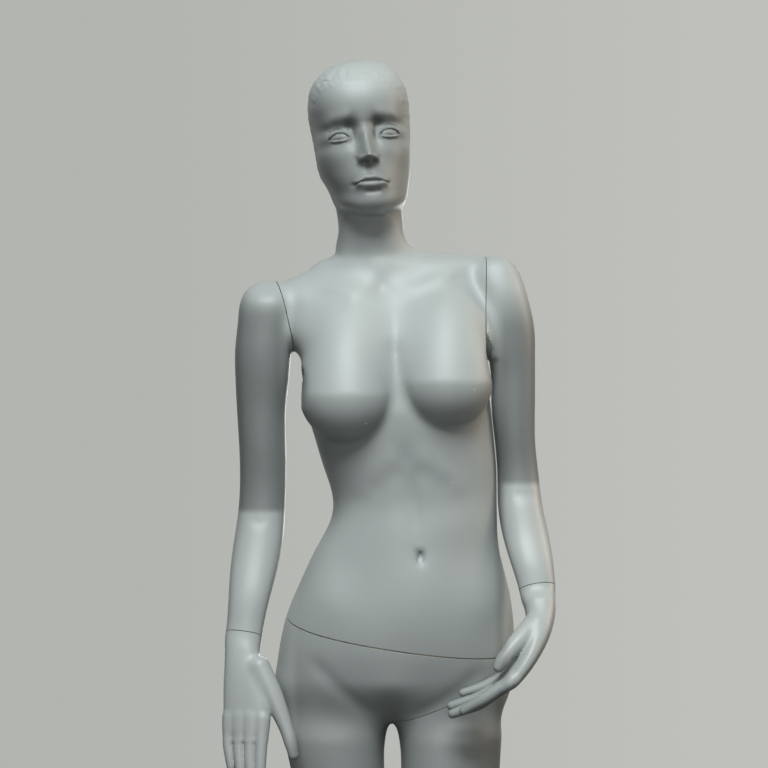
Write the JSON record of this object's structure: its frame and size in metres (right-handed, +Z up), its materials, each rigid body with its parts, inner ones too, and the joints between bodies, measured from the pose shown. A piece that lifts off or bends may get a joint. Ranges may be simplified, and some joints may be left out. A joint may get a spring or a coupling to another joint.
{
  "type": "full body mannequin",
  "caption": "Posed full-length female display mannequin in satin grey, with detachable torso, arms, hands and left leg, standing on a round steel base with a calf rod.",
  "frame": {"origin": "centre of the round base's underside, on the floor", "axes": "+Z up; the figure faces -Y; +X is the figure's left side"},
  "size_m": [0.4546, 0.4, 1.784],
  "materials": {
    "figure_paint": "satin sprayed paint on fibreglass",
    "plate_wood": "sealed plywood",
    "brushed_steel": "brushed stainless steel",
    "rod_chrome": "polished chrome plate",
    "pad_rubber": "ribbed black rubber",
    "zinc_screw": "bright zinc plate",
    "fitting_zinc": "turned steel, zinc plated",
    "black_plastic": "moulded nylon",
    "dowel_wood": "beech dowel"
  },
  "bodies": {
    "base": {"base_pad": "pad_rubber", "base_plate": "brushed_steel", "base_flange": "brushed_steel", "flange_screws": "zinc_screw", "support_rod": "rod_chrome"},
    "lock_screw": {"rod_lock_screw": "black_plastic"},
    "lower_body": {"pelvis_right_leg_shell": "figure_paint", "calf_socket": "fitting_zinc", "calf_socket_stop": "black_plastic", "pelvis_top_plate": "plate_wood", "waist_post": "fitting_zinc", "waist_post_screws": "zinc_screw", "waist_peg": "dowel_wood", "hip_plate": "plate_wood", "hip_keyhole_plate": "fitting_zinc"},
    "left_leg": {"left_leg_shell": "figure_paint", "left_leg_plate": "plate_wood", "leg_hanger_studs": "fitting_zinc"},
    "torso": {"torso_head_shell": "figure_paint", "torso_bottom_plate": "plate_wood", "waist_socket": "fitting_zinc", "waist_socket_screws": "zinc_screw", "shoulder_plate_right": "plate_wood", "shoulder_plate_left": "plate_wood"},
    "shoulder_swivel_right": {"shoulder_hub_right": "fitting_zinc", "shoulder_keeper_right": "fitting_zinc"},
    "arm_right": {"arm_shell_right": "figure_paint", "arm_plate_right": "plate_wood", "arm_plate_screws_right": "zinc_screw", "arm_spigot_right": "fitting_zinc", "forearm_end_plate_right": "plate_wood"},
    "wrist_swivel_right": {"wrist_hub_right": "fitting_zinc", "wrist_keeper_right": "fitting_zinc"},
    "hand_right": {"hand_right": "figure_paint", "hand_spigot_right": "fitting_zinc"},
    "shoulder_swivel_left": {"shoulder_hub_left": "fitting_zinc", "shoulder_keeper_left": "fitting_zinc"},
    "arm_left": {"arm_shell_left": "figure_paint", "arm_plate_left": "plate_wood", "arm_plate_screws_left": "zinc_screw", "arm_spigot_left": "fitting_zinc", "forearm_end_plate_left": "plate_wood"},
    "wrist_swivel_left": {"wrist_hub_left": "fitting_zinc", "wrist_keeper_left": "fitting_zinc"},
    "hand_left": {"hand_left": "figure_paint", "hand_spigot_left": "fitting_zinc"}
  },
  "joints": [
    {"name": "rod_lock_turn", "type": "hinge", "parent": "base", "child": "lock_screw", "pos_m": [-0.057, 0.10257, 0.02179], "axis": [0, 0.9848, 0.1736], "range_deg": [0, 360]},
    {"name": "figure_lift", "type": "slide", "parent": "base", "child": "lower_body", "axis": [0, -0.1736, 0.9848], "range_m": [0, 0.2]},
    {"name": "left_leg_unhook", "type": "slide", "parent": "lower_body", "child": "left_leg", "axis": [0.8556, 0.2572, 0.4492], "range_m": [0, 0.018]},
    {"name": "torso_lift", "type": "slide", "parent": "lower_body", "child": "torso", "axis": [0.146, -0.194, 0.9701], "range_m": [0, 0.09]},
    {"name": "shoulder_swing_right", "type": "hinge", "parent": "torso", "child": "shoulder_swivel_right", "pos_m": [-0.1581, 0.002, 1.415], "axis": [-0.9619, -0.154, -0.226], "range_deg": [0, 90]},
    {"name": "arm_pull_right", "type": "slide", "parent": "shoulder_swivel_right", "child": "arm_right", "axis": [-0.9619, -0.154, -0.226], "range_m": [0, 0.05]},
    {"name": "wrist_turn_right", "type": "hinge", "parent": "arm_right", "child": "wrist_swivel_right", "pos_m": [-0.214, -0.053, 0.986], "axis": [-0.132, -0.359, -0.924], "range_deg": [0, 90]},
    {"name": "hand_pull_right", "type": "slide", "parent": "wrist_swivel_right", "child": "hand_right", "axis": [-0.132, -0.359, -0.924], "range_m": [0, 0.05]},
    {"name": "shoulder_swing_left", "type": "hinge", "parent": "torso", "child": "shoulder_swivel_left", "pos_m": [0.1208, 0.003, 1.44], "axis": [-0.9998, 0, 0.02], "range_deg": [0, 90]},
    {"name": "arm_pull_left", "type": "slide", "parent": "shoulder_swivel_left", "child": "arm_left", "axis": [0.9998, 0, -0.02], "range_m": [0, 0.05]},
    {"name": "wrist_turn_left", "type": "hinge", "parent": "arm_left", "child": "wrist_swivel_left", "pos_m": [0.1885, -0.064, 1.051], "axis": [-0.1519, 0.4468, 0.8816], "range_deg": [0, 90]},
    {"name": "hand_pull_left", "type": "slide", "parent": "wrist_swivel_left", "child": "hand_left", "axis": [0.1519, -0.4468, -0.8816], "range_m": [0, 0.05]}
  ]
}
